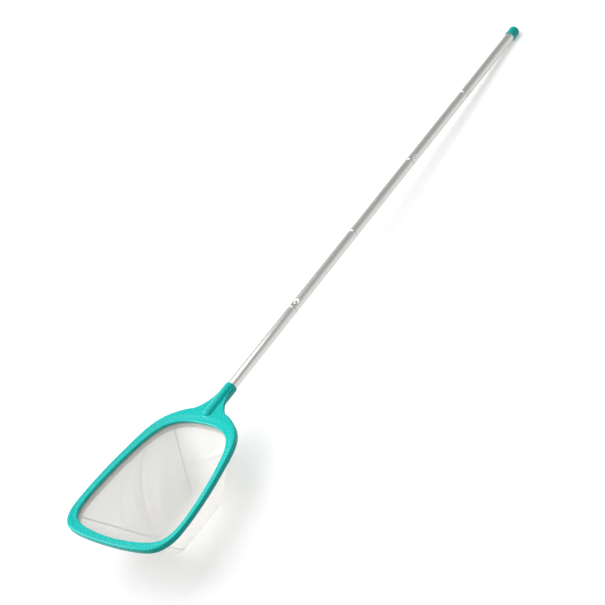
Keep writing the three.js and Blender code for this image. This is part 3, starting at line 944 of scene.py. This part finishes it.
def tube_profile(index):
    """The tube's outside from its lower end to its upper one, as (radius, y)."""
    last = index == len(JOINT_CLOCKS)
    start = FIRST_TUBE_START_Y if index == 0 else button_y(index - 1) - MOUTH_BEFORE_BUTTON
    end = CAP_TIP_Y - 6 if last else button_y(index) + SPIGOT_PAST_BUTTON
    profile = [
        (TUBE_RADIUS - 0.35, start), (TUBE_RADIUS - 0.1, start + 0.15), (TUBE_RADIUS, start + 0.45),
    ]
    if index > 0:
        profile += [(TUBE_RADIUS, y) for y in np.linspace(start + 1.2, start + 42, 56)]
    if last:
        return [*profile, (TUBE_RADIUS, end)]
    shoulder = button_y(index) - MOUTH_BEFORE_BUTTON - 1
    for share in np.linspace(0, 1, 9):
        neck = (1 - math.cos(math.pi * share)) / 2
        profile.append((TUBE_RADIUS + (SPIGOT_RADIUS - TUBE_RADIUS) * neck, shoulder - 6 + 6 * share))
    return [*profile, (SPIGOT_RADIUS, end - 1), (SPIGOT_RADIUS - 0.5, end)]


def slot_cutter(joint):
    """The stadium-shaped hole for a button, longer on the cap's side, as a solid to cut with."""
    radius, swing = BUTTON_RADIUS + 0.4, 1.4
    turn = np.radians(np.arange(0, 360, 12))
    across, along_tube = radius * np.cos(turn), radius * np.sin(turn)
    along_tube = np.where(along_tube > 0, along_tube + swing, along_tube)
    way, side = button_way(joint), np.cross((0, 1, 0), button_way(joint))
    loops = [
        [
            side * a + np.array((0, button_y(joint) + b, 0)) + way * h
            for a, b in zip(across, along_tube)
        ]
        for h in (4, 20)
    ]
    points, quads = skin(np.array(loops))
    count = len(turn)
    ends = [tuple(range(count)), tuple(range(count, 2 * count))]
    return mesh_object("slot", points, [*quads, *ends])


for index in range(len(JOINT_CLOCKS) + 1):
    outside = tube_profile(index)
    inside = [(radius - TUBE_WALL, y) for radius, y in reversed(outside)]
    points, quads = turned([*outside, *inside], sides=TUBE_SIDES)
    if index > 0:
        outer = len(outside) * TUBE_SIDES
        points = np.vstack([
            pressed(points[:outer], index - 1, 0), pressed(points[outer:], index - 1, TUBE_WALL),
        ])
    section = mesh_object(f"pole_tube_{index + 1}", points, quads)
    if index > 0:
        cut(section, slot_cutter(index - 1))
    finish_piece(
        section, ALUMINIUM, "aluminium_tube", "pole", f"pole_section_{index + 1}", smooth_up_to=40,
    )


# ---------------------------------------------------------------- spring clips and push buttons
# Inside each joint sits a V of spring steel strip. One leaf stays against the tube; the other is
# sprung outwards and carries the button, a domed steel stud that snaps through the holes.

LEAF, LEAF_WIDTH = 0.8, 8
HINGE_AT = 46
ANCHOR_HEIGHT = -10.6
PAD_HEIGHT = 8.7


def strip(name, centre_line, joint):
    """A strip of sprung steel along a line of (distance towards the head, height)."""
    line = np.asarray(centre_line, float)
    ahead = np.gradient(line, axis=0)
    ahead /= np.linalg.norm(ahead, axis=1)[:, None]
    normal = np.column_stack([-ahead[:, 1], ahead[:, 0]])
    way, side = button_way(joint), np.cross((0, 1, 0), button_way(joint))
    half, thick, edge = LEAF_WIDTH / 2, LEAF / 2, 0.25
    section = [
        (half - edge, thick), (half, thick - edge), (half, edge - thick), (half - edge, -thick),
        (edge - half, -thick), (-half, edge - thick), (-half, thick - edge), (edge - half, thick),
    ]
    loops = []
    for (distance, height), (nx, nh) in zip(line, normal):
        middle = np.array((0, button_y(joint) - distance, 0)) + way * height
        lift = np.array((0, -nx, 0)) + way * nh
        loops.append([middle + side * across + lift * up for across, up in section])
    points, quads = skin(np.array(loops))
    last = len(points) - len(section)
    ends = [tuple(range(len(section))), tuple(range(last, last + len(section)))]
    return points, [*quads, *ends]


def stud(joint):
    """The button: a turned stud with a domed top, standing on the sprung leaf."""
    top = SADDLE_FLAT + 3
    dome = [
        (BUTTON_RADIUS * math.sin(math.radians(a)), top - 1.9 + 1.9 * math.cos(math.radians(a)))
        for a in range(0, 91, 10)
    ]
    profile = [(0, PAD_HEIGHT - 0.2), (BUTTON_RADIUS, PAD_HEIGHT - 0.2), *dome[::-1]]
    turn = np.arange(40) / 40 * 2 * math.pi
    way, side = button_way(joint), np.cross((0, 1, 0), button_way(joint))
    foot = np.array((0, button_y(joint), 0))
    loops = [
        [foot + way * h + r * (side * math.cos(a) + np.array((0, 1, 0)) * math.sin(a)) for a in turn]
        for r, h in profile
    ]
    return skin(np.array(loops), joined=True)


bend_radius = -ANCHOR_HEIGHT / 2 - LEAF / 2
bend = [
    (HINGE_AT + bend_radius * math.cos(a), ANCHOR_HEIGHT / 2 + bend_radius * math.sin(a))
    for a in np.radians(np.arange(-90, 91, 12))
]
anchor = [(d, ANCHOR_HEIGHT + LEAF / 2) for d in (-6, 8, 24, 38)]
pad = [(d, PAD_HEIGHT - LEAF / 2) for d in (3, -2, -6)]
sprung = [(HINGE_AT - 0.4, -LEAF / 2), (34, 2.3), (22, 5.2), (12, 7.5), (8, 8.2), *pad]
for joint in range(len(JOINT_CLOCKS)):
    clip = joined(f"spring_clip_{joint + 1}_strip", [strip("clip", [*anchor, *bend], joint)])
    finish_piece(clip, STEEL, "spring_steel", "pole", f"spring_clip_{joint + 1}")
    button = joined(f"push_button_{joint + 1}_stud", [strip("leaf", sprung, joint), stud(joint)])
    finish_piece(
        button, STEEL, "spring_steel", f"push_button_{joint + 1}", f"push_button_{joint + 1}",
    )


# ---------------------------------------------------------------- end cap
# A moulded teal cup pushed over the last tube, with a soft domed end and a low rolled lip round
# its mouth.

CAP_RADIUS, CAP_LENGTH = 16.6, 36
CAP_END_THICKNESS = 5.7
LIP_LENGTH, LIP_PROUD = 3.4, 0.5
DOME_HEIGHT, DOME_CORNER = 9, 8


def cap_profile():
    """The cap from the bottom of its bore, out over the lip and round the dome to its tip."""
    open_y = CAP_TIP_Y - CAP_LENGTH
    body, inner_end = CAP_RADIUS - LIP_PROUD, CAP_TIP_Y - CAP_END_THICKNESS
    profile = [
        (0, inner_end), (BORE_RADIUS, inner_end),
        (BORE_RADIUS, open_y + 0.6), (BORE_RADIUS + 0.5, open_y),
        (CAP_RADIUS - 0.6, open_y), (CAP_RADIUS - 0.1, open_y + 0.5), (CAP_RADIUS, open_y + 1.2),
        (CAP_RADIUS, open_y + LIP_LENGTH), (body, open_y + LIP_LENGTH + 1), (body, open_y + 20),
    ]
    for angle in np.radians(np.arange(0, 91, 9)):
        profile.append((
            body - DOME_CORNER + DOME_CORNER * math.cos(angle),
            CAP_TIP_Y - DOME_HEIGHT + DOME_CORNER * math.sin(angle),
        ))
    return [*profile, (4, CAP_TIP_Y - 0.3), (0, CAP_TIP_Y)]


cap = mesh_object("end_cap_moulding", *turned(cap_profile(), sides=96))
modify(cap, "BEVEL", width=0.4 * MM, segments=2, limit_method="ANGLE", angle_limit=math.radians(25))
finish_piece(cap, TEAL, "teal_polypropylene", "pole", "end_cap", smooth_up_to=30)


# ---------------------------------------------------------------- floor, light and camera
# A plain white floor, a broad soft lamp overhead, a smaller one up on the net's left, and a long
# lens looking down on the net from its front right corner.

FLOOR_GLOW = 0.29  # the floor is lit from below as well, which keeps shadows on it light


def studio_floor():
    """Matt white board on a light table, with the faintest unevenness in its tone."""
    material, tree, _ = new_material("matt_painted_board_white")
    ground = add(tree, "TexCoord").outputs["Object"]
    tone = add(tree, "TexNoise", {"Vector": ground, "Scale": 0.7, "Detail": 2.0})
    tint = add(
        tree, "MixRGB",
        {"Fac": tone.outputs[0], "Color1": colour("#f4f4f4"), "Color2": colour("#f7f7f7")},
    )
    surface = add(
        tree, "BsdfPrincipled",
        {"Base Color": tint.outputs[0], "Roughness": 0.9, "IOR": 1.5,
         "Emission Color": colour("#ffffff"), "Emission Strength": FLOOR_GLOW},
    )
    add(tree, "OutputMaterial", {"Surface": surface.outputs[0]})
    return material


HALF_FLOOR = 9
CORNERS = ((-1, -1), (1, -1), (1, 1), (-1, 1))
floor_mesh = bpy.data.meshes.new("studio_floor")
floor_mesh.from_pydata(
    [(side_x * HALF_FLOOR, side_y * HALF_FLOOR, 0) for side_x, side_y in CORNERS], [], [(0, 1, 2, 3)],
)
floor_mesh.materials.append(studio_floor())
floor = bpy.data.objects.new("studio_floor", floor_mesh)
bpy.context.scene.collection.objects.link(floor)
floor.visible_diffuse = False  # the white board would light the net's dark sides too much

HEAD_MIDDLE = Vector((0, -0.82, 0.1))

unlit_floor = bpy.data.collections.new("floor_left_out_of_the_key")
unlit_floor.objects.link(floor)
unlit_floor.collection_objects[0].light_linking.link_state = "EXCLUDE"


def softbox(name, position, width, power, spare_floor=False):
    """A square soft lamp, turned to face the net's head. It may leave out the floor."""
    lamp = bpy.data.lights.new(name, "AREA")
    lamp.size = width
    lamp.energy = power
    light = bpy.data.objects.new(name, lamp)
    light.location = position
    light.rotation_euler = (HEAD_MIDDLE - Vector(position)).to_track_quat("-Z", "Y").to_euler()
    bpy.context.scene.collection.objects.link(light)
    if spare_floor:
        light.light_linking.receiver_collection = unlit_floor


softbox("key_softbox", (-3.0, -1.9, 2.7), 1.6, 175, spare_floor=True)
softbox("overhead_softbox", (-1.2, -0.6, 5.4), 6.4, 300)

world = bpy.data.worlds.new("pale_studio")
world.use_nodes = True
sky = world.node_tree
sky.nodes.clear()
height = add(sky, "SeparateXYZ", {0: add(sky, "TexCoord").outputs["Generated"]})
# The walls light the net softly, and the ceiling less. Polished metal sees them brighter.
skies = []
for low, high in ((0.6, 0.2), (1.0, 0.5)):
    fade = add(
        sky, "MapRange",
        {"Value": height.outputs["Z"], "From Min": 0.1, "From Max": 0.7,
         "To Min": low, "To Max": high},
    )
    skies.append(add(sky, "Background", {"Color": colour("#fbfbfa"), "Strength": fade.outputs[0]}))
mirrored_ray = add(sky, "LightPath").outputs["Is Glossy Ray"]
air = add(sky, "MixShader", {0: mirrored_ray, 1: skies[0].outputs[0], 2: skies[1].outputs[0]})
add(sky, "OutputWorld", {"Surface": air.outputs[0]})
bpy.context.scene.world = world
bpy.context.scene.view_settings.view_transform = "Standard"

AZIMUTH, ELEVATION, ROLL = math.radians(55.53), math.radians(36.96), math.radians(33.14)
AIM = Vector((-0.0519, -0.1251, 0.0559))
DISTANCE, LENS = 4.937, 107.1

looking = Vector((
    -math.sin(AZIMUTH) * math.cos(ELEVATION),
    math.cos(AZIMUTH) * math.cos(ELEVATION),
    -math.sin(ELEVATION),
))
level = Vector((math.cos(AZIMUTH), math.sin(AZIMUTH), 0))
upright = level.cross(looking)
camera_right = level * math.cos(ROLL) - upright * math.sin(ROLL)
camera_up = upright * math.cos(ROLL) + level * math.sin(ROLL)
camera = bpy.data.objects.new("camera", bpy.data.cameras.new("camera"))
camera.data.lens = LENS
turn_of_camera = Matrix((camera_right, camera_up, -looking)).transposed()
camera.matrix_world = Matrix.Translation(AIM - looking * DISTANCE) @ turn_of_camera.to_4x4()
bpy.context.scene.collection.objects.link(camera)
bpy.context.scene.camera = camera
